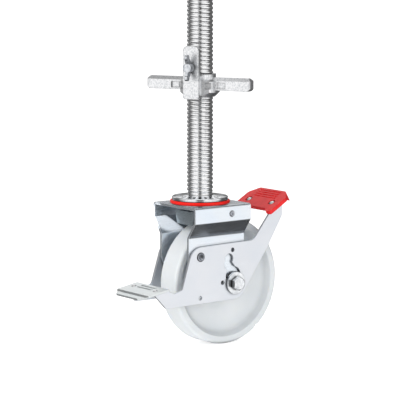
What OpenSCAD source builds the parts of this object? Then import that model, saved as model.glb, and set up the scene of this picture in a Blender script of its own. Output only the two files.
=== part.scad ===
// Scaffold castor: threaded spindle with an adjusting nut, swivel fork,
// and a lever that slides the axle under the spindle and brakes the wheel.
// Millimetres. The origin is the centre of the nut's tube seat, +Z runs up the spindle,
// +X points to the trailing side with the lock pedal.

/* [Wheel] */
// Diameter of the wheel
wheel_d = 200; // [180:1:210]
// Width of the wheel
wheel_w = 42; // [36:1:46]
// Width of the rim outside the dish
rim_w = 12; // [9:0.5:16]
// Depth of the dish on each side
dish_depth = 11; // [6:0.5:13]
// Rounding of the tread's edges
tread_round = 5; // [3:0.5:7]
// Diameter of the wheel hub
hub_d = 50; // [46:1:60]

/* [Axle] */
// Outside diameter of the axle tube
axle_d = 15; // [14:0.5:16]
// Thread diameter of the axle bolt
bolt_d = 12; // [10:0.5:12]
// Width across the flats of the bolt head and nut
bolt_af = 19; // [17:1:22]
// Height of the bolt head and nut
bolt_head_h = 8.5; // [6:0.5:11]
// Diameter of the axle washers
washer_d = 35; // [30:1:38]
// Thickness of the axle washers
washer_t = 3; // [2:0.5:4]
// Outside diameter of the wheel bearings
bearing_d = 35; // [32:1:40]
// Width of each wheel bearing
bearing_w = 11; // [9:0.5:13]

/* [Fork] */
// Width of the top plate
fork_w = 109; // [102:1:120]
// Distance from the swivel axis to the front edge
fork_front = 50; // [46:1:56]
// Distance from the swivel axis to the back edge
fork_back = 58; // [52:1:62]
// Thickness of the fork sheet
sheet_t = 4; // [3:0.25:5]
// Height of the straight upper band
band_h = 24.5; // [22:0.5:30]
// Height of the sloped shoulder
shoulder_h = 23.7; // [20:0.5:28]
// Side gap between the wheel and a fork leg
leg_gap = 12.2; // [9:0.2:14]
// Gap between the tread and the top of the fork
crown_gap = 25; // [24:0.5:30]
// Distance of the axle behind the swivel axis
trail = 37; // [30:1:42]

/* [Lever] */
// Thickness of the lever plates
lever_t = 4; // [3:0.25:5]
// Distance of the lever pivot in front of the swivel axis
pivot_lead = 30; // [26:1:34]
// Depth of the lever pivot below the top plate
pivot_drop = 78; // [74:1:84]
// Diameter of the pivot rivets
pivot_d = 12; // [10:0.5:14]
// Swing that brings the axle under the spindle
lever_swing = 40; // [34:1:44]

/* [Pedals] */
// Half width of the lock pad
pad_half_w = 47; // [45:0.5:52]
// Slope of the lock pad
pad_slope = 30; // [26:1:36]
// Distance between the rivets of each pedal
rivet_span = 57; // [50:1:62]
// Length of the release pedal's plate
pedal_len = 39; // [34:1:46]
// Slope of the release pedal
pedal_slope = 9.5; // [7:0.5:12]

/* [Spindle] */
// Diameter over the thread crests
thread_d = 40.6; // [38:0.2:41]
// Distance from one thread crest to the next
thread_pitch = 6.6; // [5:0.2:8]
// Depth of the rounded thread
thread_depth = 1.6; // [1.2:0.1:2]
// Height of the spindle above the fork
spindle_rise = 430; // [400:5:520]
// Diameter of the king pin below the spindle
king_d = 20; // [18:0.5:22]

/* [Swivel head] */
// Diameter of the swivel disc
disc_d = 87; // [85:0.5:90]
// Height of the swivel disc's crown above the fork
disc_crown = 13; // [11.5:0.5:16]
// How far the seal ring stands out past the disc, all round
seal_proud = 3.25; // [2.5:0.25:5.5]
// Number of lock grooves in the disc
slot_count = 24; // [18:1:28]
// Number of bearing balls
ball_count = 24; // [16:1:28]

/* [Adjusting nut] */
// Height of the tube seat above the fork
seat_height = 201; // [190:1:220]
// Diameter of the seat collar
collar_d = 49.5; // [48.5:0.5:51]
// Height of the seat collar
collar_h = 8; // [6:0.5:10]
// Length of the nut's hub along the handles
nut_hub_len = 61; // [58:0.5:66]
// Width of the nut's hub across the handles
nut_hub_w = 50; // [48:0.5:54]
// Height of the nut's hub
nut_hub_h = 27; // [24:0.5:30]
// Thickness of the handle bars
handle_w = 15; // [13:0.5:17]
// Height of the handle bars
handle_h = 20; // [18:0.5:22]
// Length over both handles
handle_span = 176; // [160:1:190]
// Turn of the nut about the spindle
nut_turn = -153; // [-180:1:180]
// Width of the clamp tongue
tongue_w = 27; // [24:0.5:30]
// Thickness of the clamp tongue
tongue_t = 5.6; // [5:0.2:7]
// Height of the tongue above the seat
tongue_rise = 44; // [40:1:50]
// Gap between the thread and the tongue
tongue_gap = 6.4; // [6:0.1:7]

/* [Wing screw] */
// Thread diameter of the wing screw
wing_screw_d = 8; // [7:0.5:10]
// Span over both wings
wing_span = 40; // [36:1:44]
// Height of the wing screw above the seat
wing_height = 11; // [9:0.5:14]

/* [Hidden] */
$fn = 64;

// Clearances: seated faces, running shafts, and bodies that pass each other
seat_gap = 0.03;
run_gap = 0.05;
pass_gap = 0.4;
cut = 1;

// Colours
zinc = "gainsboro";
steel = "silver";
cast_grey = "lightgray";
signal_red = "crimson";
nylon = "whitesmoke";

// Wheel, axle and side planes, heights measured from the fork's top face
wheel_r = wheel_d / 2;
axle_r = axle_d / 2;
bolt_r = bolt_d / 2;
axle_z = -(crown_gap + wheel_r);
half_tread = wheel_w / 2;
leg_in = half_tread + leg_gap;
leg_out = leg_in + sheet_t;
lever_in = leg_out + pass_gap;
lever_out = lever_in + lever_t;
washer_in = lever_out + pass_gap;
washer_out = washer_in + washer_t;
hub_half = half_tread + 2;
slot_r = axle_r + pass_gap;

// Fork profile
half_w = fork_w / 2;
step_in = half_w - leg_out;
shoulder_top = -band_h;
shoulder_low = -(band_h + shoulder_h);
bend_r = 4.6;
fold_r = 5;
hole_r = 18;
leg_round = 24;
leg_straight = 38;
leg_taper_z = shoulder_low - leg_straight;
leg_toe = 22;

// Lever and its path
pivot = [-pivot_lead, -pivot_drop];
axle_at = [trail, axle_z];
lever_rise = 15;
lever_drop = 25.5;
lever_top = pivot.y + lever_rise;
lever_low = axle_z - lever_drop;
lever_nose = pivot.x - lever_rise;
nose_r = 24;
shoulder_lead = 13;
shoulder_rise = 2;
shoulder_at = [trail + leg_round + shoulder_lead, lever_top + shoulder_rise];
shoulder_r = 12;
arm_ahead = 15.4;
arm_behind = 11.2;
arm_depth = 19;
arm_r = 8;
crook_drop = 7;
crook_r = 14;
foot_lead = 10;
toe_len = 21;
toe_drop = 1;
toe_r = 5;
notch_lead = 10;
notch_drop = 5.5;
notch_r = 4;
heel_gap = 2;
heel_drop = 1;
heel_r = 6;
path_steps = 10;
lobe_r = 14.5;
lobe_at = axle_at + [-3.5, 12];
dwell_r = slot_r + 0.5;
dwell_angle = 9;
rivet_hole_r = 3.4;
rivet_holes = [[trail - 4.6, lever_top - 9.5], [pivot.x - 1, lever_low + 8.5], [trail - 24.2, axle_z + 2.7]];

// Lock pad, placed by its rivet line over the wheel's rear edge
pad_inset = 16.6;
pad_x = trail + wheel_r - pad_inset;
pad_z = -6.3;
pad_skin = 3.5;
pad_wall = 2.4;
pad_front = 22;
pad_recess = 6;
pad_lobe_w = 11;
pad_back = 30.7;
pad_corner = 15;
pad_round = 6;
lobe_r_out = 3;
lobe_r_in = 2;
pad_lip = 16;
rib_r = 1.2;
rib_count = 4;
rib_pitch = 5;
rib_half = pad_half_w - pad_corner - 4;
bridge_t = 3;
bridge_front = pad_front - pad_recess - pad_wall - pass_gap;
bridge_back = pad_back - pad_corner - 2 * pass_gap;
pad_under = pad_skin + bridge_t + 2 * seat_gap;
pad_t = pad_under - pass_gap;
rivet_r = 3;
rivet_head_r = 4.2;
rivet_head_h = 1.8;
pad_rivet_r = 5.6;
pad_rivet_proud = 0.8;
pad_rivet_h = pad_skin + pad_rivet_proud;
pad_hole_r = pad_rivet_r + pass_gap;

// Release pedal, placed by its back edge in front of the tread
pedal_gap = 27;
pedal_back = trail - wheel_r - pedal_gap;
pedal_back_z = axle_z + 0.5;
pedal_overhang = 12;
pedal_t = 3;
pedal_round = 6;
lip_drop = 2.5;
lip_len = 12;
lip_run = 3;
lip_half_w = 28;
pedal_rivet_in = 16.5;
bead_r = 2.5;
bead_half = 18;
bead_pitch = pedal_len / 5;

// Swivel bearing
race_low = 2.6;
race_high = 5.4;
ball_r = 2.9;
ball_z = (race_low + race_high) / 2;
ball_in = 10.5;
ball_ring = disc_d / 2 - ball_in;
ball_gap = 0.25;
groove_r = ball_r + ball_gap;
race_half = 6.5;
seal_d = disc_d + 2 * seal_proud;
disc_rim_w = 2.5;
disc_land = disc_d / 2 - disc_rim_w;
disc_rim_low = 7.7;
disc_rim_high = 10.6;
disc_edge = 0.8;
groove_depth = 1.6;
groove_round = 2.4;
groove_len = 10;
groove_in = 13;
groove_at = disc_d / 2 - groove_in;
nut_af = 1.5 * king_d;
washer_top = -(sheet_t + pass_gap);
thrust_t = 2.6;
king_nut_h = 9;
king_low = washer_top - thrust_t - king_nut_h - 2;

// Brake shoe and its pin
pin_r = 3;
pin_at = [nut_af / sqrt(3) + pin_r + 0.6, -13.2];
shoe_x = -26;
shoe_t = 4;
shoe_top = -11.5;
shoe_half = 23;
shoe_low_half = 17;
shoe_arm_t = 4;
shoe_arm_low = -20;
shoe_pad_len = 12;
shoe_hub_r = 6.5;
shoe_lift = 3;
shoe_gap = 0.7;
shoe_depth = 40;

// Spindle and nut
thread_r = thread_d / 2;
root_r = thread_r - thread_depth;
end_len = 24;
end_chamfer = 2;
thread_top = spindle_rise - end_len;
thread_start = disc_crown + 1;
thread_turns = floor((thread_top - thread_start) / thread_pitch);
ridge_phase = [0.25, 0.5, 0.75, 1];
ridge_height = [0.8, 1, 0.8, 0];
nut_bore_r = thread_r + 0.3;
nut_low = -(collar_h + nut_hub_h);
hub_chamfer = 7;
hub_slope = 3;
hub_flank = 8.5;
hub_round = 6;
handle_top = collar_h / 2 + 1;
handle_chamfer = 4;
handle_corner = 2;
handle_root_r = 4;
bar_bevel = handle_w / 3;
flute_h = 9;
flute_depth = 2.3;
flute_from = 18;
flute_to = 46;
seat_sink = 2;
tongue_in = thread_r + tongue_gap;
tongue_out = tongue_in + tongue_t;
tongue_drop = 2.8;
tongue_low_r = 4;
tongue_top_r = 8;
boss_r = 7;
boss_len = 13;
wing_t = 4.5;
wing_tip_r = 4.5;
wing_root = 6;
wing_flare = 0.5;

// Direction from one point to another
function unit(v) = v / norm(v);

// Points of a round corner at b between a and c
function corner(a, b, c, r, n = 6) =
    let (u = unit(a - b), w = unit(c - b), half = acos(u * w) / 2)
    let (centre = b + unit(u + w) * r / sin(half), reach = r / tan(half))
    let (p = b + u * reach - centre, q = b + w * reach - centre)
    let (start = atan2(p.y, p.x), sweep = atan2(p.x * q.y - p.y * q.x, p * q))
    [for (i = [0 : n]) centre + r * [cos(start + sweep * i / n), sin(start + sweep * i / n)]];

// Closed outline whose corners carry the radius given as their third value
function rounded(points) =
    let (n = len(points), flat = [for (p = points) [p.x, p.y]])
    [for (i = [0 : n - 1]) each points[i].z > 0
        ? corner(flat[(i + n - 1) % n], flat[i], flat[(i + 1) % n], points[i].z)
        : [flat[i]]];

// A point turned about the lever pivot, or about another centre
function turned(p, a, centre = pivot) =
    let (v = p - centre)
    centre + [v.x * cos(a) - v.y * sin(a), v.x * sin(a) + v.y * cos(a)];

// Axle centre seen from the lever when a share s of the swing is done
function axle_path(s) = turned([trail * (1 - s), axle_z], lever_swing * s);
function path_normal(s) =
    let (d = unit(axle_path(s + 0.01) - axle_path(s - 0.01)))
    [-d.y, d.x];

// Height of the lock pad's underside plane and of the pedal's underside at a given x
function pad_plane(x, below) = pad_z + (x - pad_x) * tan(pad_slope) - below / cos(pad_slope);
function pedal_plane(x) = pedal_back_z + (x - pedal_back) * tan(pedal_slope);

// Heights of the fork group are measured from its top face
module at_fork() {
    translate([0, 0, -seat_height])
        children();
}

// An outline in the XZ plane, extruded from y_low to y_high
module side_slab(y_low, y_high) {
    translate([0, y_high, 0])
        rotate([90, 0, 0])
            linear_extrude(height = y_high - y_low)
                children();
}

// A round bar along Y
module cross_bar(at, r, y_low, y_high) {
    translate([at.x, y_low, at.y])
        rotate([-90, 0, 0])
            cylinder(r = r, h = y_high - y_low);
}

// A hexagon bar along Y
module cross_hex(at, across, y_low, y_high) {
    translate([at.x, y_low, at.y])
        rotate([-90, 30, 0])
            cylinder(r = across / sqrt(3), h = y_high - y_low, $fn = 6);
}

// A ring along Y, mirrored to both sides
module cross_rings(at, r_in, r_out, y_low, y_high) {
    for (side = [0, 1])
        mirror([0, side, 0])
            difference() {
                cross_bar(at, r_out, y_low, y_high);
                cross_bar(at, r_in, y_low - cut, y_high + cut);
            }
}

module spindle() {
    ridges = [for (i = [0 : thread_turns - 1], k = [0 : len(ridge_phase) - 1])
        [root_r + thread_depth * ridge_height[k], thread_start + (i + ridge_phase[k]) * thread_pitch]];
    color(steel)
        at_fork()
            rotate_extrude()
                polygon(concat(
                    [[0, king_low], [king_d / 2 - 1, king_low], [king_d / 2, king_low + 1],
                        [king_d / 2, disc_crown + seat_gap], [thread_r, disc_crown + seat_gap],
                        [thread_r, thread_start], [root_r, thread_start + thread_pitch / 8]],
                    ridges,
                    [[root_r, spindle_rise - end_chamfer], [root_r - end_chamfer, spindle_rise],
                        [0, spindle_rise]]));
}

module swivel_disc() {
    bore_r = king_d / 2 + seat_gap;
    crown_r = thread_r + 1;
    rim_r = disc_d / 2;
    slope = atan((disc_crown - disc_rim_high) / (rim_r - disc_edge - crown_r));
    top_at = function(r) disc_rim_high + (rim_r - disc_edge - r) * tan(slope);
    color(zinc)
        at_fork()
            difference() {
                rotate_extrude()
                    polygon([[bore_r, race_high], [disc_land, race_high], [disc_land, disc_rim_low],
                        [rim_r, disc_rim_low], [rim_r, disc_rim_high - disc_edge],
                        [rim_r - disc_edge, disc_rim_high], [crown_r, disc_crown], [bore_r, disc_crown]]);
                rotate_extrude()
                    translate([ball_ring, ball_z])
                        circle(r = groove_r);
                for (i = [0 : slot_count - 1])
                    rotate([0, 0, (i + 0.5) * 360 / slot_count])
                        translate([groove_at, 0, top_at(groove_at) + groove_round - groove_depth])
                            rotate([0, 90 + slope, 0])
                                cylinder(r = groove_round, h = groove_len);
            }
}

module race_balls() {
    color(steel)
        at_fork()
            for (i = [0 : ball_count - 1])
                rotate([0, 0, i * 360 / ball_count])
                    translate([ball_ring, 0, ball_z])
                        sphere(r = ball_r);
}

module king_nut() {
    top = washer_top - thrust_t - seat_gap;
    color(steel)
        at_fork()
            difference() {
                translate([0, 0, top - king_nut_h])
                    cylinder(r = nut_af / sqrt(3), h = king_nut_h, $fn = 6);
                translate([0, 0, top - king_nut_h - cut])
                    cylinder(r = king_d / 2 + seat_gap, h = king_nut_h + 2 * cut);
            }
}

module thrust_washer() {
    color(zinc)
        at_fork()
            translate([0, 0, washer_top - thrust_t])
                difference() {
                    cylinder(r = nut_af / 2, h = thrust_t);
                    translate([0, 0, -cut])
                        cylinder(r = king_d / 2 + seat_gap, h = thrust_t + 2 * cut);
                }
}

module seal_ring() {
    inner = disc_land + pass_gap;
    outer = seal_d / 2;
    foot = 2;
    bulge_low = 2.4;
    top = disc_rim_low - pass_gap;
    edge = 1.4;
    crease = 0.3;
    color(signal_red)
        at_fork()
            rotate_extrude()
                polygon(rounded([[inner, seat_gap, 0], [outer - foot, seat_gap, 0],
                    [outer - foot, bulge_low - crease, crease], [outer, bulge_low, edge], [outer, top, edge],
                    [inner, top, 0]]));
}

module lower_race() {
    color(steel)
        at_fork()
            rotate_extrude()
                difference() {
                    translate([ball_ring - race_half, seat_gap])
                        square([2 * race_half, race_low - seat_gap]);
                    translate([ball_ring, ball_z])
                        circle(r = groove_r);
                }
}

// Cross-section of the folded sheet, seen along X
module fork_section() {
    lift = sheet_t * tan(atan(step_in / shoulder_h) / 2);
    low = axle_z - leg_round - cut;
    right_out = [[half_w, 0, bend_r], [half_w, shoulder_top, fold_r], [leg_out, shoulder_low, fold_r],
        [leg_out, low, 0]];
    band_in = half_w - sheet_t;
    right_in = [[leg_in, low, 0], [leg_in, shoulder_low + lift, fold_r + sheet_t],
        [band_in, shoulder_top + lift, fold_r - sheet_t], [band_in, -sheet_t, bend_r - sheet_t]];
    flip = function(list) [for (i = [len(list) - 1 : -1 : 0]) [-list[i].x, list[i].y, list[i].z]];
    polygon(rounded(concat(right_out, right_in, flip(right_in), flip(right_out))));
}

// Outline of the fork seen along Y: square shoulders, tapered legs with a round foot
module fork_side() {
    top = cut;
    polygon(rounded([[-fork_front, top, 0], [fork_back, top, 0], [fork_back, axle_z + leg_round, leg_round],
        [trail + leg_round, axle_z - leg_round, leg_round], [-leg_toe, axle_z - leg_round, leg_round],
        [-fork_front, leg_taper_z, leg_round]]));
}

module fork() {
    color(zinc)
        at_fork()
            difference() {
                intersection() {
                    translate([-fork_front, 0, 0])
                        rotate([90, 0, 90])
                            linear_extrude(height = fork_front + fork_back)
                                fork_section();
                    side_slab(-fork_w, fork_w)
                        fork_side();
                }
                translate([0, 0, -sheet_t - cut])
                    cylinder(r = king_d / 2 + run_gap, h = sheet_t + 2 * cut);
                cross_bar(axle_at, hole_r, -fork_w, fork_w);
                side_slab(-fork_w, fork_w)
                    translate([0, axle_z - slot_r])
                        square([trail, 2 * slot_r]);
                cross_bar([0, axle_z], slot_r, -fork_w, fork_w);
                cross_bar(pivot, pivot_d / 2 + seat_gap, -fork_w, fork_w);
                cross_bar(pin_at, pin_r + seat_gap, -fork_w, fork_w);
            }
}

module lever_pivots() {
    shank_r = pivot_d / 2;
    head_r = shank_r + 1.2;
    head_h = 0.5;
    head_edge = 0.4;
    inner_h = 3;
    dimple_r = 4.8;
    dimple_tip = 1;
    dimple_depth = 3.2;
    face = lever_out + pass_gap;
    color(steel)
        at_fork()
            for (side = [0, 1])
                mirror([0, side, 0])
                    difference() {
                        union() {
                            cross_bar(pivot, shank_r, leg_in - seat_gap, face + head_h);
                            translate([pivot.x, face, pivot.y])
                                rotate([-90, 0, 0])
                                    cylinder(r1 = head_r, r2 = head_r - head_edge, h = head_h);
                            translate([pivot.x, leg_in - seat_gap, pivot.y])
                                rotate([90, 0, 0])
                                    cylinder(r1 = head_r, r2 = shank_r - 1, h = inner_h);
                        }
                        translate([pivot.x, face + head_h + seat_gap, pivot.y])
                            rotate([90, 0, 0])
                                cylinder(r1 = dimple_r, r2 = dimple_tip, h = dimple_depth);
                    }
}

module brake_pin() {
    head_r = pin_r + 2;
    head_h = 2;
    head_edge = 1.2;
    dimple_r = 2;
    color(steel)
        at_fork() {
            cross_bar(pin_at, pin_r, -half_w - seat_gap, half_w + seat_gap);
            for (side = [0, 1])
                mirror([0, side, 0])
                    translate([pin_at.x, half_w + seat_gap, pin_at.y])
                        rotate([-90, 0, 0])
                            difference() {
                                cylinder(r1 = head_r, r2 = head_r - head_edge, h = head_h);
                                translate([0, 0, head_h - dimple_r / 2])
                                    cylinder(r1 = dimple_r / 2, r2 = 2 * dimple_r, h = 2 * dimple_r);
                            }
        }
}

// Brake shoe: a bracket on the brake pin whose pad is cut to the tread's curve
module brake_shoe() {
    front = shoe_x - shoe_t;
    pad_low = -shoe_depth;
    arm = [[front, shoe_top], [pin_at.x, shoe_top], [pin_at.x, shoe_arm_low], [front, shoe_arm_low]];
    // The wheel centre in the locked position, seen from the shoe at rest
    locked = turned([0, axle_z], shoe_lift, pin_at);
    color(zinc)
        at_fork()
            difference() {
                union() {
                    translate([front, 0, 0])
                        rotate([90, 0, 90])
                            linear_extrude(height = shoe_t + shoe_pad_len)
                                polygon([[-shoe_low_half, pad_low], [shoe_low_half, pad_low],
                                    [shoe_half, shoe_arm_low], [-shoe_half, shoe_arm_low]]);
                    translate([front, -shoe_half, shoe_arm_low])
                        cube([shoe_t, 2 * shoe_half, shoe_top - shoe_arm_low]);
                    for (side = [0, 1])
                        mirror([0, side, 0]) {
                            side_slab(shoe_half - shoe_arm_t, shoe_half)
                                polygon(arm);
                            cross_bar(pin_at, shoe_hub_r, shoe_half - shoe_arm_t, shoe_half);
                        }
                }
                cross_bar(locked, wheel_r + shoe_gap, -fork_w, fork_w);
                cross_bar(pin_at, pin_r + run_gap, -fork_w, fork_w);
            }
}

// Outline of a lever plate with its pivot, the cam slot and three small holes
module lever_outline() {
    arm_back = pad_x + arm_behind;
    arm_front = pad_x - arm_ahead;
    pedal_end = pedal_back - pedal_len + pedal_overhang;
    arm_root = pedal_back - heel_gap;
    right = [for (i = [0 : path_steps])
        let (s = i / path_steps)
        axle_path(s) - path_normal(s) * slot_r];
    left = [for (i = [path_steps : -1 : 0])
        let (s = i / path_steps)
        axle_path(s) + path_normal(s) * slot_r];
    difference() {
        polygon(rounded([
            [lever_nose, lever_top, nose_r],
            [shoulder_at.x, shoulder_at.y, shoulder_r],
            [arm_front, pad_plane(arm_front, pad_under), 0],
            [arm_back, pad_plane(arm_back, pad_under), 0],
            [arm_back, pad_plane(arm_back, pad_under) - arm_depth, arm_r],
            [arm_front, lever_top - crook_drop, crook_r],
            [trail + foot_lead, lever_low, leg_round],
            [pedal_end + toe_len, lever_low - toe_drop, toe_r],
            [pedal_end, pedal_plane(pedal_end) - seat_gap, 0],
            [arm_root, pedal_plane(arm_root) - seat_gap, heel_gap],
            [pedal_back + notch_lead, axle_z - notch_drop, notch_r],
            [trail - wheel_r - heel_gap, axle_z - heel_drop, heel_r]]));
        translate(pivot)
            circle(r = pivot_d / 2 + run_gap);
        polygon(concat(right, left));
        translate(axle_at)
            circle(r = slot_r);
        translate(axle_path(1))
            circle(r = slot_r);
        translate(lobe_at)
            circle(r = lobe_r);
        translate(turned(axle_path(1), dwell_angle))
            circle(r = dwell_r);
        for (p = rivet_holes)
            translate(p)
                circle(r = rivet_hole_r);
    }
}

module lever_plate_near() {
    color(zinc)
        at_fork()
            side_slab(-lever_out, -lever_in)
                lever_outline();
}

module lever_plate_far() {
    color(zinc)
        at_fork()
            side_slab(lever_in, lever_out)
                lever_outline();
}

// Release pedal: a sloped plate on the lever arms with a stepped front lip
module at_pedal() {
    translate([pedal_back, 0, pedal_back_z])
        rotate([0, -pedal_slope, 0])
            children();
}

module release_pedal() {
    lip_end = -pedal_len - lip_len;
    edge = 1;
    section = [[0, 0, 0], [0, pedal_t, edge], [-pedal_len, pedal_t, edge],
        [-pedal_len - lip_run, pedal_t - lip_drop, edge], [lip_end, pedal_t - lip_drop, 0],
        [lip_end, -lip_drop, 0], [-pedal_len - lip_run, -lip_drop, 0], [-pedal_len, 0, 0]];
    plan = [[cut, -lever_out, 0], [cut, lever_out, 0], [-pedal_len, lever_out, pedal_round],
        [lip_end, lip_half_w, lip_run], [lip_end, -lip_half_w, lip_run],
        [-pedal_len, -lever_out, pedal_round]];
    color(zinc)
        at_fork()
            at_pedal()
                difference() {
                    union() {
                        intersection() {
                            side_slab(-lever_out, lever_out)
                                polygon(rounded(section));
                            translate([0, 0, -fork_w / 2])
                                linear_extrude(height = fork_w)
                                    polygon(rounded(plan));
                        }
                        for (i = [1, 2])
                            cross_bar([-i * bead_pitch, pedal_t - bead_r / 2], bead_r, -bead_half, bead_half);
                    }
                    for (y = [-rivet_span / 2, rivet_span / 2])
                        translate([-pedal_rivet_in, y, -cut])
                            cylinder(r = rivet_r + seat_gap, h = pedal_t + 2 * cut);
                }
}

// A rivet with a domed head above z = 0 and a closing head below the plates
module rivet(depth, head_r, head_h) {
    dome_r = (pow(head_r, 2) + pow(head_h, 2)) / (2 * head_h);
    translate([0, 0, -depth])
        cylinder(r = rivet_r, h = depth + seat_gap);
    translate([0, 0, -depth - rivet_head_h])
        cylinder(r = rivet_head_r, h = rivet_head_h - seat_gap);
    translate([0, 0, -depth - rivet_head_h / 2])
        cylinder(r = rivet_r, h = rivet_head_h);
    intersection() {
        translate([0, 0, head_h - dome_r + seat_gap])
            sphere(r = dome_r);
        translate([0, 0, seat_gap])
            cylinder(r = head_r, h = head_h + cut);
    }
}

module pedal_rivets() {
    color(steel)
        at_fork()
            at_pedal()
                for (y = [-rivet_span / 2, rivet_span / 2])
                    translate([-pedal_rivet_in, y, pedal_t])
                        rivet(pedal_t, rivet_head_r, rivet_head_h);
}

module at_pad() {
    translate([pad_x, 0, pad_z])
        rotate([0, -pad_slope, 0])
            children();
}

// Plan of the lock pad in its own plane, drawn in by an inset
module pad_plan(inset) {
    w = pad_half_w - inset;
    front = -pad_front + inset;
    back = pad_back - inset;
    lobe = w - pad_lobe_w + inset;
    half = [[front, w, lobe_r_out], [pad_back - pad_corner, w, pad_round], [back, w - pad_corner, pad_round]];
    step = [[front + pad_recess, lobe - pad_recess, lobe_r_in], [front, lobe, lobe_r_in]];
    flip = function(list) [for (i = [len(list) - 1 : -1 : 0]) [list[i].x, -list[i].y, list[i].z]];
    polygon(rounded(concat(step, half, flip(half), flip(step))));
}

module lock_pad() {
    color(signal_red)
        at_fork()
            at_pad()
                difference() {
                    union() {
                        translate([0, 0, -pad_t])
                            linear_extrude(height = pad_t)
                                pad_plan(0);
                        intersection() {
                            translate([0, 0, -pad_lip])
                                linear_extrude(height = pad_lip)
                                    pad_plan(0);
                            translate([pad_back - pad_wall, -pad_half_w, -pad_lip])
                                cube([pad_wall + cut, 2 * pad_half_w, pad_lip]);
                        }
                        for (i = [1 : rib_count])
                            cross_bar([pad_rivet_r + i * rib_pitch, 0], rib_r, i - rib_half, rib_half - i);
                    }
                    translate([0, 0, -pad_t - cut])
                        linear_extrude(height = pad_t - pad_skin + cut)
                            pad_plan(pad_wall);
                    for (y = [-rivet_span / 2, rivet_span / 2])
                        translate([0, y, -pad_t])
                            cylinder(r = pad_hole_r, h = pad_t + cut);
                }
}

module lock_bridge() {
    color(zinc)
        at_fork()
            at_pad()
                translate([0, 0, -pad_skin - seat_gap - bridge_t])
                    difference() {
                        translate([-bridge_front, -lever_out, 0])
                            cube([bridge_front + bridge_back, 2 * lever_out, bridge_t]);
                        for (y = [-rivet_span / 2, rivet_span / 2])
                            translate([0, y, -cut])
                                cylinder(r = rivet_r + seat_gap, h = bridge_t + 2 * cut);
                    }
}

module pad_rivets() {
    color(zinc)
        at_fork()
            at_pad()
                for (y = [-rivet_span / 2, rivet_span / 2])
                    translate([0, y, -pad_skin - seat_gap])
                        rivet(bridge_t, pad_rivet_r, pad_rivet_h);
}

module axle_tube() {
    half = washer_in - seat_gap;
    color(steel)
        at_fork()
            difference() {
                cross_bar(axle_at, axle_r, -half, half);
                cross_bar(axle_at, bolt_r + seat_gap, -half - cut, half + cut);
            }
}

// Axle bolt with a hexagon head on the near side, its face chamfered round
module axle_bolt() {
    head_low = -washer_out - seat_gap - bolt_head_h;
    face_r = bolt_af / 2 - 0.4;
    tip = 4;
    color(zinc)
        at_fork() {
            cross_bar(axle_at, bolt_r, -washer_out - 2 * seat_gap, washer_out + bolt_head_h + tip);
            intersection() {
                cross_hex(axle_at, bolt_af, head_low, head_low + bolt_head_h);
                translate([axle_at.x, head_low, axle_at.y])
                    rotate([-90, 0, 0])
                        cylinder(r1 = face_r, r2 = face_r + 2 * bolt_head_h, h = bolt_head_h + cut);
            }
        }
}

module axle_nut() {
    low = washer_out + seat_gap;
    color(zinc)
        at_fork()
            difference() {
                cross_hex(axle_at, bolt_af, low, low + bolt_head_h);
                cross_bar(axle_at, bolt_r + seat_gap, low - cut, low + bolt_head_h + cut);
            }
}

module axle_washers() {
    color(zinc)
        at_fork()
            cross_rings(axle_at, bolt_r + seat_gap, washer_d / 2, washer_in, washer_out);
}

module axle_sleeves() {
    color(steel)
        at_fork()
            cross_rings(axle_at, axle_r + seat_gap, axle_r + 3.5, hub_half + pass_gap, leg_in - pass_gap);
}

// Wheel: rounded tread, dished web on both sides and a hub for two bearings
module wheel() {
    web_half = half_tread - dish_depth;
    dish_r = wheel_r - rim_w;
    wall = 6;
    hub_r = hub_d / 2;
    seat = hub_half - bearing_w;
    bore_r = bearing_d / 2 - 3;
    seat_r = bearing_d / 2 + seat_gap;
    side = [[seat_r, seat, 0], [seat_r, hub_half, 0], [hub_r, hub_half, 2],
        [hub_r + 4, web_half, 5], [dish_r - wall, web_half, 7], [dish_r, half_tread, 2],
        [wheel_r, half_tread, tread_round]];
    flip = function(list) [for (i = [len(list) - 1 : -1 : 0]) [list[i].x, -list[i].y, list[i].z]];
    color(nylon)
        at_fork()
            translate([trail, 0, axle_z])
                rotate([-90, 0, 0])
                    rotate_extrude($fn = 128)
                        polygon(rounded(concat([[bore_r, seat, 0]], side, flip(side), [[bore_r, -seat, 0]])));
}

module wheel_bearings() {
    color(steel)
        at_fork()
            cross_rings(axle_at, axle_r + run_gap, bearing_d / 2, hub_half - bearing_w + seat_gap, hub_half);
}

// Plan of the nut: a hub with tapered flanks on a bar along Y, its sides drawn in by an inset
module nut_plan(inset) {
    across = nut_hub_w / 2 - inset;
    along = nut_hub_len / 2;
    bar = handle_w / 2 - inset;
    quarter = [[across, along / 4, hub_round], [bar + hub_flank, along, hub_round],
        [bar, along, handle_root_r], [bar, handle_span / 2, handle_corner]];
    turn = function(list, x, y) [for (p = list) [p.x * x, p.y * y, p.z]];
    back = function(list) [for (i = [len(list) - 1 : -1 : 0]) list[i]];
    half = concat(quarter, back(turn(quarter, -1, 1)));
    polygon(rounded(concat(half, turn(half, -1, -1))));
}

// The bar of both handles along Y, bevelled along its top and chamfered at its ends
module nut_bar() {
    side = handle_w / 2;
    tip = handle_span / 2;
    top = -handle_top;
    low = top - handle_h;
    intersection() {
        rotate([90, 0, 0])
            linear_extrude(height = handle_span, center = true)
                polygon([[-side, low], [side, low], [side, top - bar_bevel], [side - bar_bevel, top],
                    [bar_bevel - side, top], [-side, top - bar_bevel]]);
        rotate([90, 0, 90])
            linear_extrude(height = 2 * handle_w, center = true)
                polygon([[handle_chamfer - tip, low], [tip - handle_chamfer, low],
                    [tip, low + handle_chamfer], [tip, top - handle_chamfer],
                    [tip - handle_chamfer, top], [handle_chamfer - tip, top],
                    [-tip, top - handle_chamfer], [-tip, low + handle_chamfer]]);
    }
}

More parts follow.
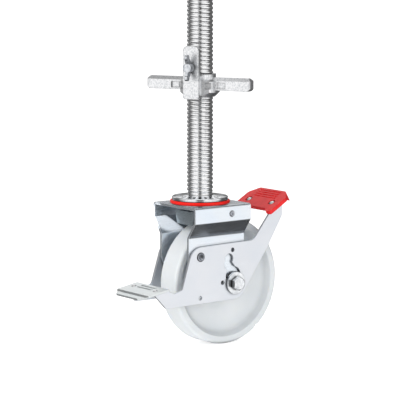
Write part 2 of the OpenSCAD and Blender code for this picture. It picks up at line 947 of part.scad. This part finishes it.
// Shallow flutes that run from the hub's flanks along both faces of each handle
module nut_flutes() {
    mid = -handle_top - (handle_h + bar_bevel) / 2;
    difference() {
        for (end = [0, 1])
            mirror([0, end, 0])
                translate([-nut_hub_w, flute_from, mid - flute_h / 2])
                    cube([2 * nut_hub_w, flute_to - flute_from, flute_h]);
        translate([0, 0, mid - flute_h])
            linear_extrude(height = 2 * flute_h)
                nut_plan(flute_depth);
    }
}

// Clamp tongue along +X of the nut, with a round top and a web to the hub
module tongue() {
    half = tongue_w / 2;
    low = nut_low - tongue_drop;
    translate([tongue_in, 0, 0])
        rotate([90, 0, 90])
            linear_extrude(height = tongue_t)
                polygon(rounded([[-half, low, tongue_low_r], [half, low, tongue_low_r],
                    [half, tongue_rise, tongue_top_r], [-half, tongue_rise, tongue_top_r]]));
    translate([0, -half, nut_low])
        cube([tongue_in + cut, tongue_w, -nut_low - seat_sink]);
}

module adjusting_nut() {
    hub_r = nut_hub_len / 2;
    hub = [[0, nut_low], [hub_r - hub_chamfer, nut_low], [hub_r, nut_low + hub_chamfer],
        [hub_r, -collar_h - hub_slope], [collar_d / 2, -collar_h], [0, -collar_h]];
    color(cast_grey)
        rotate([0, 0, nut_turn])
            difference() {
                union() {
                    translate([0, 0, -collar_h - cut])
                        cylinder(r = collar_d / 2, h = collar_h + cut);
                    intersection() {
                        translate([0, 0, nut_low])
                            linear_extrude(height = -nut_low)
                                nut_plan(0);
                        union() {
                            rotate_extrude()
                                polygon(hub);
                            nut_bar();
                        }
                    }
                    tongue();
                }
                translate([0, 0, nut_low - tongue_drop])
                    cylinder(r = nut_bore_r, h = tongue_drop - nut_low + cut);
                translate([0, 0, -seat_sink])
                    cylinder(r1 = nut_bore_r, r2 = nut_bore_r + 2 * seat_sink, h = 2 * seat_sink);
                translate([0, 0, wing_height])
                    rotate([0, 90, 0])
                        cylinder(r = wing_screw_d / 2 + run_gap, h = tongue_out + cut);
                nut_flutes();
            }
}

// Wing screw through the tongue: shank, round boss and two flared wings
module wing_screw() {
    boss_low = tongue_out + pass_gap;
    boss_high = boss_low + boss_len;
    reach = wing_span / 2 - wing_tip_r;
    wing_low = boss_low + 2;
    tip = boss_high + wing_flare;
    color(zinc)
        rotate([0, 0, nut_turn])
            translate([0, 0, wing_height]) {
                rotate([0, 90, 0])
                    translate([0, 0, tongue_in])
                        cylinder(r = wing_screw_d / 2, h = boss_high - tongue_in);
                translate([boss_low, 0, 0])
                    rotate([0, 90, 0])
                        cylinder(r = boss_r, h = boss_len);
                for (up = [0, 1])
                    mirror([0, 0, up])
                        translate([0, wing_t / 2, 0])
                            rotate([90, 0, 0])
                                linear_extrude(height = wing_t)
                                    union() {
                                        polygon([[wing_low, 0], [wing_low, wing_root],
                                            [tip - wing_tip_r, reach], [tip + wing_tip_r, reach],
                                            [boss_high, wing_root], [boss_high, 0]]);
                                        translate([tip, reach])
                                            circle(r = wing_tip_r);
                                    }
            }
}

spindle();
swivel_disc();
race_balls();
king_nut();
thrust_washer();
seal_ring();
lower_race();
fork();
lever_pivots();
brake_pin();
brake_shoe();
lever_plate_near();
lever_plate_far();
release_pedal();
pedal_rivets();
lock_bridge();
lock_pad();
pad_rivets();
axle_tube();
axle_bolt();
axle_nut();
axle_washers();
axle_sleeves();
wheel();
wheel_bearings();
adjusting_nut();
wing_screw();
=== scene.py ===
import math

import bmesh
import bpy
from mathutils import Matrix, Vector


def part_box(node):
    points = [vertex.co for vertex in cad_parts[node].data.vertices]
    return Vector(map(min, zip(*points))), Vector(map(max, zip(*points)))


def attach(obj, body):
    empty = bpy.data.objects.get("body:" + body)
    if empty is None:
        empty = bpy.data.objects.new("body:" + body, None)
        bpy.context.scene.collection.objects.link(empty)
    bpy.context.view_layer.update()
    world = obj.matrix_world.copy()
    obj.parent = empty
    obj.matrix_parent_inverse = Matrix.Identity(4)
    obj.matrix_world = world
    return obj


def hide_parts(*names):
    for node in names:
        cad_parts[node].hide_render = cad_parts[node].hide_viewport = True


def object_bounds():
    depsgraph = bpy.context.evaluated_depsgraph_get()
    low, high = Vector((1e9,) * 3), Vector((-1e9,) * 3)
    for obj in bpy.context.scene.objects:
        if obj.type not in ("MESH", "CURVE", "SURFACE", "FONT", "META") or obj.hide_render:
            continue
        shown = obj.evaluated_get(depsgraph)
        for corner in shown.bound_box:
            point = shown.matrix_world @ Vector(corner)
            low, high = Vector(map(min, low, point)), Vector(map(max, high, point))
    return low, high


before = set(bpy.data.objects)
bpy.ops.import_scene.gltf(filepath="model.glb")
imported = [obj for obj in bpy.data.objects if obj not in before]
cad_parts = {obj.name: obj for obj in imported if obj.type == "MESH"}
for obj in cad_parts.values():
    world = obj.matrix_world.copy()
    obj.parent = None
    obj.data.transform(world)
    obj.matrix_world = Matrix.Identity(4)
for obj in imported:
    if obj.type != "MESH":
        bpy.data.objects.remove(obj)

MM = 0.001
CAD_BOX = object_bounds()

# The photograph's camera: level distance from the spindle, its height, its turn and its tilt
CAMERA_DISTANCE = 3.1134
CAMERA_HEIGHT = 0.2238
CAMERA_TURN = math.radians(37.21)
CAMERA_TILT = math.radians(7.70)
CAMERA_LENS = 181.6
SENSOR = 36.0

# Thread of the spindle
THREAD_DEPTH = 1.6 * MM
THREAD_PITCH = 6.6 * MM
THREAD_TOP_PLAIN = 26.6 * MM
THREAD_BASE = 1.0 * MM
KING_RADIUS = 10.0 * MM
KING_CHAMFER = 1.0 * MM
END_CHAMFER = 2.0 * MM

# Pieces bent from sheet, and how far their edges are rounded
SHEET_NODES = ["fork", "brake_shoe", "lever_plate_near", "lever_plate_far", "release_pedal", "lock_bridge"]
SHEET_EDGE = 0.3 * MM

# Seal ring and the skirt of the swivel disc above it
SEAL_DROP = 2.1 * MM
SEAL_ROUND = 1.6 * MM
SKIRT_THICK = 2.2 * MM
SKIRT_GAP = 0.3 * MM

# The studio: a white tent with soft boxes and dark flags. Each has its middle azimuth, half width, lowest and
# highest elevation and soft edge, in degrees around the object, and what it adds to the tent's light.
TENT_LIGHT = 0.62
DARKEST = 0.03
SOFT_BOXES = [
    (14, 34, -44, 62, 8, 0.50),
    (-82, 28, -44, 70, 8, 0.50),
    (-37, 14, -80, 60, 7, -0.46),
    (95, 37, -46, 75, 8, -0.49),
    (75, 62, -100, -42, 6, -0.50),
    (-155, 26, -80, 80, 10, -0.46),
    (152, 28, 15, 60, 4, 0.42),
    (152, 24, -20, 11, 4, -0.42),
    (0, 180, -100, -46, 8, -0.34),
    (0, 180, 76, 100, 6, 0.40),
]

# Floor and lamps
FLOOR_HALF = 40.0
FLOOR_GLOW = 0.6
LAMP_REACH = 2.2
SNOOT_REACH = 1.5
SNOOT_WIDTH = 36 * MM
SNOOT_LAMP = 3 * MM
SNOOT_BLEND = 0.7

# The bright place on the far shoulder of the fork: behind its front edge, inside its far wall, below its top
SHOULDER_BACK = 16.0 * MM
SHOULDER_IN = 10.0 * MM
SHOULDER_DROP = 35.5 * MM

# Rays of each occlusion test, and the facets of turned pieces
AO_SAMPLES = 8
RING_SIDES = 96
SPINDLE_SIDES = 72
STEPS_PER_PITCH = 12


class Finish:
    """A node tree that is built one short call at a time."""

    def __init__(self, tree):
        self.nodes = tree.nodes
        self.links = tree.links

    def add(self, kind, **inputs):
        node = self.nodes.new("ShaderNode" + kind)
        for name, value in inputs.items():
            self.put(node.inputs[name.replace("_", " ")], value)
        return node

    def put(self, socket, value):
        if isinstance(value, bpy.types.NodeSocket):
            self.links.new(value, socket)
        else:
            socket.default_value = value

    def place(self, stretch=(1, 1, 1)):
        """Object coordinates in metres, squeezed along each axis."""
        coords = self.add("TexCoord")
        return self.add("Mapping", Vector=coords.outputs["Object"], Scale=stretch).outputs["Vector"]

    def noise(self, size, detail=3.0, stretch=(1, 1, 1), rough=0.5):
        """Noise from 0 to 1 whose patches measure about size."""
        place = self.place(stretch)
        node = self.add("TexNoise", Vector=place, Scale=1 / size, Detail=detail, Roughness=rough)
        return node.outputs["Fac"]

    def spread(self, factor, low, high, start=0.3, end=0.7):
        """A factor taken from start..end to low..high."""
        node = self.add("MapRange", Value=factor, From_Min=start, From_Max=end, To_Min=low, To_Max=high)
        return node.outputs["Result"]

    def ramp(self, factor, *stops):
        """Colours along a factor, each stop a place and a colour."""
        node = self.add("ValToRGB", Fac=factor)
        marks = node.color_ramp.elements
        while len(marks) < len(stops):
            marks.new(0.5)
        for mark, (place, colour) in zip(marks, stops):
            mark.position = place
            mark.color = (*colour, 1)
        return node.outputs["Color"]

    def math(self, operation, *values):
        node = self.add("Math")
        node.operation = operation
        for socket, value in zip(node.inputs, values):
            self.put(socket, value)
        return node.outputs["Value"]

    def fade(self, factor, start, end):
        """A soft step from 0 at start to 1 at end."""
        node = self.add("MapRange", Value=factor, From_Min=start, From_Max=end)
        node.interpolation_type = "SMOOTHSTEP"
        return node.outputs["Result"]

    def painted_crevice_shade(self, reach, deepest, start=0.25):
        """Painted shade: 1 in the open, down to deepest where other surfaces crowd in within reach."""
        node = self.add("AmbientOcclusion", Distance=reach)
        node.samples = AO_SAMPLES
        return self.spread(node.outputs["AO"], deepest, 1.0, start, 0.92)

    def edge(self, reach):
        """0 on flats, up to 1 within reach of an outer edge."""
        node = self.add("AmbientOcclusion", Distance=reach)
        node.samples = AO_SAMPLES
        node.inside = True
        node.only_local = True
        return self.spread(node.outputs["AO"], 1.0, 0.0, 0.3, 0.9)

    def shade(self, colour, factor):
        """A colour made darker by a factor from 0 to 1."""
        node = self.add("VectorMath")
        node.operation = "SCALE"
        self.put(node.inputs["Vector"], colour)
        self.put(node.inputs["Scale"], factor)
        return node.outputs["Vector"]

    def painted_underside_shade(self, darkest):
        """Painted shade: 1 on faces that look up or sideways, down to darkest on those that look down."""
        normal = self.add("NewGeometry").outputs["True Normal"]
        height = self.add("SeparateXYZ", Vector=normal).outputs["Z"]
        return self.spread(height, darkest, 1.0, -0.6, -0.2)

    def bump(self, height, depth, strength=1.0):
        return self.add("Bump", Height=height, Distance=depth, Strength=strength).outputs["Normal"]


def new_finish(name, **constants):
    """A material with its principled shader, whose constant values sit on the shader's own sockets."""
    material = bpy.data.materials.new(name)
    material.use_nodes = True
    finish = Finish(material.node_tree)
    shader = finish.nodes["Principled BSDF"]
    for socket, value in constants.items():
        shader.inputs[socket.replace("_", " ")].default_value = value
    return material, finish, shader.inputs


def zinc_sheet(name, cool, warm, smooth, coarse, painted_crease_shade=0.4):
    """Blue-white zinc on rolled sheet: clouds of tint, lines along the roll and rough sheared edges.

    The last argument sets how dark the shade painted into its creases gets, from 0 for black to 1; faces that
    look down get painted shade too.
    """
    material, f, shader = new_finish(name, Metallic=0.92)
    clouds = f.noise(45 * MM, detail=4)
    lines = f.noise(1.1 * MM, detail=2, stretch=(0.03, 1, 1))
    tint = f.ramp(clouds, (0.35, cool), (0.65, warm))
    # Painted shade: darker in creases and on faces that look down.
    shadow = f.math("MULTIPLY", f.painted_crevice_shade(6 * MM, painted_crease_shade), f.painted_underside_shade(0.6))
    sheared = f.math("MULTIPLY", f.edge(2 * MM), 0.6)
    f.put(shader["Base Color"], f.shade(tint, shadow))
    f.put(shader["Roughness"], f.math("MAXIMUM", f.spread(lines, smooth, coarse), sheared))
    f.put(shader["Normal"], f.bump(lines, 0.006 * MM, 0.15))
    return material


def zinc_bright(name, light, dark, smooth, coarse, rim=0.4):
    """Bright zinc on turned and headed steel, with small cloudy stains, shade painted into its creases, and
    rims painted darker, down to rim, for the dark reflections of rounded edges.
    """
    material, f, shader = new_finish(name, Metallic=1.0)
    stains = f.noise(6 * MM, detail=5)
    tint = f.ramp(stains, (0.35, dark), (0.6, light))
    # Painted shade: rims darkened towards rim, for the dark reflections of rounded edges.
    painted_dark_rims = f.spread(f.edge(1.4 * MM), 1.0, rim, 0.2, 0.9)
    # Painted shade in creases, times the painted dark rims.
    f.put(shader["Base Color"], f.shade(tint, f.math("MULTIPLY", f.painted_crevice_shade(5 * MM, 0.12, 0.45), painted_dark_rims)))
    f.put(shader["Roughness"], f.spread(stains, coarse, smooth))
    f.put(shader["Normal"], f.bump(f.noise(1.2 * MM, detail=3), 0.02 * MM, 0.3))
    return material


def zinc_thread():
    """Rolled thread under zinc: dull flecks and fine lines round the spindle."""
    material, f, shader = new_finish("zinc_thread", Metallic=1.0)
    flecks = f.noise(4 * MM, detail=6, rough=0.6)
    lines = f.noise(0.8 * MM, detail=2, stretch=(0.15, 0.15, 1))
    f.put(shader["Base Color"], f.ramp(flecks, (0.3, (0.76, 0.77, 0.79)), (0.6, (0.88, 0.88, 0.88))))
    f.put(shader["Roughness"], f.spread(flecks, 0.24, 0.15))
    f.put(shader["Normal"], f.bump(f.math("ADD", lines, flecks), 0.02 * MM, 0.3))
    return material


def casting():
    """Galvanised malleable casting: soft grey mottle over a sand-cast skin, with shade painted into its
    creases and its edges painted darker.
    """
    material, f, shader = new_finish("galvanised_casting", Metallic=1.0)
    mottle = f.noise(2.4 * MM, detail=4, rough=0.6)
    skin = f.noise(1.2 * MM, detail=4)
    tint = f.ramp(mottle, (0.36, (0.66, 0.68, 0.70)), (0.58, (0.93, 0.93, 0.94)))
    # Painted shade: edges darkened for their dark reflections, and creases darkened where parts crowd in.
    painted_dark_edges = f.spread(f.edge(2.2 * MM), 1.0, 0.3, 0.1, 0.9)
    f.put(shader["Base Color"], f.shade(tint, f.math("MULTIPLY", f.painted_crevice_shade(6 * MM, 0.5), painted_dark_edges)))
    f.put(shader["Roughness"], f.spread(mottle, 0.44, 0.30))
    f.put(shader["Normal"], f.bump(f.math("ADD", skin, mottle), 0.16 * MM, 0.5))
    return material


def nylon():
    """Natural polyamide: milky white that warms in the depth, with a fine grain and shade painted into its
    crevices.
    """
    depth = {"Subsurface_Weight": 0.25, "Subsurface_Scale": 4 * MM}
    material, f, shader = new_finish("nylon_wheel", IOR=1.53, **depth)
    shader["Subsurface Radius"].default_value = (1.0, 0.85, 0.6)
    milk = f.noise(40 * MM, detail=3)
    grain = f.noise(1.5 * MM, detail=3)
    tint = f.ramp(milk, (0.35, (0.67, 0.70, 0.72)), (0.65, (0.71, 0.735, 0.75)))
    # Painted shade where other surfaces crowd in within 10 mm.
    f.put(shader["Base Color"], f.shade(tint, f.painted_crevice_shade(10 * MM, 0.45)))
    f.put(shader["Roughness"], f.spread(grain, 0.32, 0.46))
    f.put(shader["Normal"], f.bump(grain, 0.05 * MM, 0.3))
    return material


def red_plastic(name, light, dark, smooth, coarse):
    """Moulded red plastic with a fine grained skin and paler rubbed patches."""
    material, f, shader = new_finish(name, IOR=1.5, Specular_IOR_Level=0.3)
    rub = f.noise(14 * MM, detail=4)
    skin = f.noise(0.7 * MM, detail=3)
    f.put(shader["Base Color"], f.ramp(rub, (0.3, dark), (0.7, light)))
    f.put(shader["Roughness"], f.spread(skin, smooth, coarse))
    f.put(shader["Normal"], f.bump(skin, 0.08 * MM, 0.4))
    return material


def ground_steel():
    """Ground bearing steel with fine lines."""
    material, f, shader = new_finish("bearing_steel", Metallic=1.0)
    lines = f.noise(0.6 * MM, detail=2, stretch=(1, 0.1, 1))
    f.put(shader["Base Color"], f.ramp(lines, (0.3, (0.46, 0.46, 0.47)), (0.7, (0.62, 0.62, 0.63))))
    f.put(shader["Roughness"], f.spread(lines, 0.18, 0.34))
    return material


def revolve(name, rows, count, radius_at, ring=False):
    """A closed solid of revolution from rows of heights, whose radius may change with the angle.

    With ring, the last row joins the first, and otherwise flat ends close it.
    """
    mesh = bmesh.new()
    rings = []
    for row in rows:
        angles = [2 * math.pi * i / count for i in range(count)]
        radii = [radius_at(row, a) for a in angles]
        points = [(r * math.cos(a), r * math.sin(a), row[0]) for r, a in zip(radii, angles)]
        rings.append([mesh.verts.new(point) for point in points])
    for lower, upper in zip(rings, rings[1:] + rings[:1] if ring else rings[1:]):
        for i in range(count):
            k = (i + 1) % count
            mesh.faces.new((lower[i], lower[k], upper[k], upper[i])).smooth = True
    if not ring:
        mesh.faces.new(list(reversed(rings[0])))
        mesh.faces.new(rings[-1])
    data = bpy.data.meshes.new(name)
    mesh.to_mesh(data)
    mesh.free()
    piece = bpy.data.objects.new(name, data)
    bpy.context.scene.collection.objects.link(piece)
    return piece


def plain_radius(row, angle):
    """A row's own radius, the same all round."""
    return row[1]


def spindle_with_thread():
    """The spindle with its thread as a true helix that runs out at both ends."""
    low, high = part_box("spindle")
    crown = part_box("swivel_disc")[1].z
    crest = high.x
    root = crest - THREAD_DEPTH
    start = crown + THREAD_BASE
    end = high.z - THREAD_TOP_PLAIN
    run_out = THREAD_PITCH
    steps = round((end - start) / THREAD_PITCH) * STEPS_PER_PITCH

    def radius_at(row, angle):
        height, radius, threaded = row
        if not threaded:
            return radius
        turn = (height - start) / THREAD_PITCH + angle / (2 * math.pi)
        ridge = 1 - (0.5 + 0.5 * math.cos(2 * math.pi * turn)) ** 1.5
        fade = min(1.0, (height - start) / run_out, (end - height) / run_out)
        return root + THREAD_DEPTH * ridge * max(fade, 0.0)

    shank = [(low.z, KING_RADIUS - KING_CHAMFER, False), (low.z + KING_CHAMFER, KING_RADIUS, False),
             (crown, KING_RADIUS, False), (crown, crest, False), (start, crest, False)]
    thread = [(start + (end - start) * i / steps, root, True) for i in range(steps + 1)]
    tip = [(high.z - END_CHAMFER, root, False), (high.z, root - END_CHAMFER, False)]
    return revolve("spindle_with_thread", shank + thread + tip, SPINDLE_SIDES, radius_at)


def low_seal():
    """The seal ring as low as the photograph shows it, and the disc's skirt that reaches down to it."""
    low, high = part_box("seal_ring")
    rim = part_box("swivel_disc")[1].x
    inner = rim - SKIRT_THICK
    top = high.z - SEAL_DROP
    middle, half = (low.z + top) / 2, (top - low.z) / 2
    arc = [math.radians(a) for a in range(-90, 91, 15)]
    bulge = [(middle + half * math.sin(a), high.x - SEAL_ROUND * (1 - math.cos(a)), False) for a in arc]
    section = [(low.z, inner, False)] + bulge + [(top, inner, False)]
    seal = revolve("low_seal", section, RING_SIDES, plain_radius, ring=True)
    skirt_low, skirt_high = top + SKIRT_GAP, high.z + SKIRT_GAP
    corners = [(skirt_low, inner), (skirt_low, rim), (skirt_high, rim), (skirt_high, inner)]
    rows = [(*corner, False) for corner in corners]
    skirt = revolve("disc_skirt", rows, RING_SIDES, plain_radius, ring=True)
    return seal, skirt


def soften(node, width, segments=2):
    """Rounds a solid's hard edges a little, as plating and tumbling leave them."""
    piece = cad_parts[node]
    weld = piece.modifiers.new("weld", "WELD")
    weld.merge_threshold = 0.002 * MM
    flat = piece.modifiers.new("flat_faces", "DECIMATE")
    flat.decimate_type = "DISSOLVE"
    flat.angle_limit = math.radians(0.5)
    bevel = piece.modifiers.new("edges", "BEVEL")
    bevel.width = width
    bevel.segments = segments
    bevel.limit_method = "ANGLE"
    bevel.angle_limit = math.radians(35)
    bevel.harden_normals = True


def dress(material, *nodes):
    """Puts one material on every slot of these solids."""
    for name in nodes:
        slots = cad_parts[name].material_slots
        for slot in slots:
            slot.material = material


def make_finishes():
    """Makes every finish of the solids and puts it on them."""
    sheet = zinc_sheet("zinc_sheet", (0.75, 0.81, 0.88), (0.79, 0.83, 0.87), 0.17, 0.26)
    # Painted shade: the brake shoe gets a darker copy of the sheet zinc.
    shoe = zinc_sheet("zinc_shoe_painted_shade", (0.40, 0.46, 0.50), (0.46, 0.51, 0.54), 0.24, 0.36)
    lever = zinc_sheet("zinc_lever", (0.80, 0.83, 0.88), (0.83, 0.85, 0.89), 0.34, 0.44)
    pedal = zinc_sheet("zinc_pedal", (0.76, 0.80, 0.81), (0.80, 0.83, 0.83), 0.30, 0.40, painted_crease_shade=0.75)
    # rim, 0.4 unless given, is how dark each bright zinc's rims are painted, as shade for the dark
    # reflections of rounded edges.
    bright = zinc_bright("zinc_bright", (0.84, 0.86, 0.88), (0.66, 0.68, 0.71), 0.12, 0.24)
    disc = zinc_bright("zinc_disc", (0.90, 0.92, 0.94), (0.80, 0.82, 0.85), 0.06, 0.12, rim=0.3)
    # Painted shade: the rivets and pin get a much darker copy of the bright zinc, with rims painted nearly
    # black.
    rivet = zinc_bright("zinc_rivet_painted_shade", (0.50, 0.52, 0.56), (0.28, 0.30, 0.34), 0.16, 0.28, rim=0.1)
    stud = zinc_bright("zinc_stud", (0.97, 0.97, 0.97), (0.92, 0.92, 0.93), 0.24, 0.36, rim=0.95)
    # Painted shade: the wing screw gets a darker copy of the bright zinc, with rims painted nearly black.
    wing = zinc_bright("zinc_wing_painted_shade", (0.74, 0.76, 0.79), (0.42, 0.44, 0.48), 0.16, 0.28, rim=0.05)
    steel = ground_steel()
    dress(sheet, "fork", "lock_bridge")
    dress(pedal, "release_pedal")
    dress(shoe, "brake_shoe")
    dress(lever, "lever_plate_near", "lever_plate_far")
    dress(disc, "swivel_disc")
    dress(bright, "king_nut", "thrust_washer", "axle_bolt", "axle_nut", "axle_washers")
    dress(wing, "wing_screw")
    dress(rivet, "lever_pivots", "brake_pin")
    dress(stud, "pedal_rivets", "pad_rivets")
    dress(steel, "race_balls", "lower_race", "axle_tube", "axle_sleeves", "wheel_bearings")
    dress(casting(), "adjusting_nut")
    dress(nylon(), "wheel")
    dress(red_plastic("red_pad", (0.80, 0.016, 0.018), (0.68, 0.008, 0.010), 0.3, 0.42), "lock_pad")
    dress(red_plastic("red_seal", (0.93, 0.012, 0.006), (0.82, 0.008, 0.005), 0.42, 0.55), "seal_ring")


def direction(azimuth, elevation):
    """Azimuth 0 lies towards -Y and 90 towards +X, elevation above the horizon, in degrees."""
    a, e = math.radians(azimuth), math.radians(elevation)
    return Vector((math.sin(a) * math.cos(e), -math.cos(a) * math.cos(e), math.sin(e)))


def studio_world():
    """A white tent whose tall soft boxes and dark flags are what the bright metal mirrors."""
    world = bpy.data.worlds.new("studio")
    bpy.context.scene.world = world
    world.use_nodes = True
    f = Finish(world.node_tree)
    x, y, z = f.add("SeparateXYZ", Vector=f.add("TexCoord").outputs["Generated"]).outputs
    azimuth = f.math("DEGREES", f.math("ARCTAN2", x, f.math("MULTIPLY", y, -1.0)))
    elevation = f.math("DEGREES", f.math("ARCSINE", z))
    total = TENT_LIGHT
    for middle, half, low, high, soft, strength in SOFT_BOXES:
        offset = f.math("ABSOLUTE", f.math("WRAP", f.math("SUBTRACT", azimuth, middle), 180.0, -180.0))
        across = f.fade(offset, half + soft, half - soft)
        above = f.fade(elevation, low - soft, low + soft)
        below = f.fade(elevation, high + soft, high - soft)
        box = f.math("MULTIPLY", f.math("MULTIPLY", across, above), below)
        total = f.math("ADD", f.math("MULTIPLY", box, strength), total)
    f.put(f.nodes["Background"].inputs["Color"], f.math("MAXIMUM", total, DARKEST))


def aim_lamp(light, azimuth, elevation, reach, target, power):
    """Hangs a lamp at a reach from its target, where the metal doesn't mirror it."""
    light.energy = power
    lamp = bpy.data.objects.new(light.name, light)
    back = direction(azimuth, elevation)
    lamp.location = target + back * reach
    lamp.rotation_mode = "QUATERNION"
    lamp.rotation_quaternion = back.to_track_quat("Z", "Y")
    lamp.visible_glossy = False
    bpy.context.scene.collection.objects.link(lamp)


def soft_light(name, azimuth, elevation, size, power):
    """A square soft box that faces the middle of the object."""
    light = bpy.data.lights.new(name, "AREA")
    light.size = size
    aim_lamp(light, azimuth, elevation, LAMP_REACH, (CAD_BOX[0] + CAD_BOX[1]) / 2, power)


def shoulder_snoot(azimuth, elevation, power):
    """A narrow soft-edged beam on the far shoulder of the fork, which is bright in the photograph."""
    low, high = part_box("fork")
    light = bpy.data.lights.new("shoulder_snoot", "SPOT")
    light.spot_size = 2 * math.atan(SNOOT_WIDTH / 2 / SNOOT_REACH)
    light.spot_blend = SNOOT_BLEND
    light.shadow_soft_size = SNOOT_LAMP
    target = Vector((low.x + SHOULDER_BACK, high.y - SHOULDER_IN, high.z - SHOULDER_DROP))
    aim_lamp(light, azimuth, elevation, SNOOT_REACH, target, power)


def pale_floor():
    """A white floor under the wheel that the metal doesn't mirror."""
    data = bpy.data.meshes.new("floor")
    ground = CAD_BOX[0].z
    corners = [(-1, -1), (1, -1), (1, 1), (-1, 1)]
    data.from_pydata([(x * FLOOR_HALF, y * FLOOR_HALF, ground) for x, y in corners], [], [(0, 1, 2, 3)])
    floor = bpy.data.objects.new("floor", data)
    bpy.context.scene.collection.objects.link(floor)
    material, f, shader = new_finish("floor", Roughness=0.9, Specular_IOR_Level=0.0)
    paper = f.ramp(f.noise(0.4), (0.0, (0.88, 0.88, 0.88)), (1.0, (0.90, 0.90, 0.90)))
    f.put(shader["Base Color"], paper)
    shader["Emission Color"].default_value = (1, 1, 1, 1)
    shader["Emission Strength"].default_value = FLOOR_GLOW
    data.materials.append(material)
    floor.visible_glossy = False


def photo_camera():
    """The photograph's view, aimed through the middle of its frame."""
    camera = bpy.data.objects.new("camera", bpy.data.cameras.new("camera"))
    camera.data.lens = CAMERA_LENS
    camera.data.sensor_width = SENSOR
    camera.data.clip_end = 200.0
    level = Vector((math.sin(CAMERA_TURN), math.cos(CAMERA_TURN), 0))
    camera.location = Vector((0, 0, CAMERA_HEIGHT)) - level * CAMERA_DISTANCE
    aim = level * math.cos(CAMERA_TILT) - Vector((0, 0, math.sin(CAMERA_TILT)))
    camera.rotation_mode = "QUATERNION"
    camera.rotation_quaternion = aim.to_track_quat("-Z", "Y")
    bpy.context.scene.collection.objects.link(camera)
    bpy.context.scene.camera = camera


photo_camera()
make_finishes()

spindle = spindle_with_thread()
spindle.data.materials.append(zinc_thread())
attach(spindle, "spindle")
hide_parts("spindle")

seal, skirt = low_seal()
seal.data.materials.append(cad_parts["seal_ring"].material_slots[0].material)
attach(seal, "fork")
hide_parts("seal_ring")
skirt.data.materials.append(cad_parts["swivel_disc"].material_slots[0].material)
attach(skirt, "spindle")

for sheet_node in SHEET_NODES:
    soften(sheet_node, SHEET_EDGE)

for red_piece in (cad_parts["lock_pad"], seal):
    red_piece.visible_glossy = False

studio_world()
soft_light("key", -92, 42, 1.2, 18)
soft_light("fill", -52, 8, 0.5, 7)
shoulder_snoot(-88, 42, 2300)
pale_floor()
bpy.context.scene.view_settings.view_transform = "Standard"
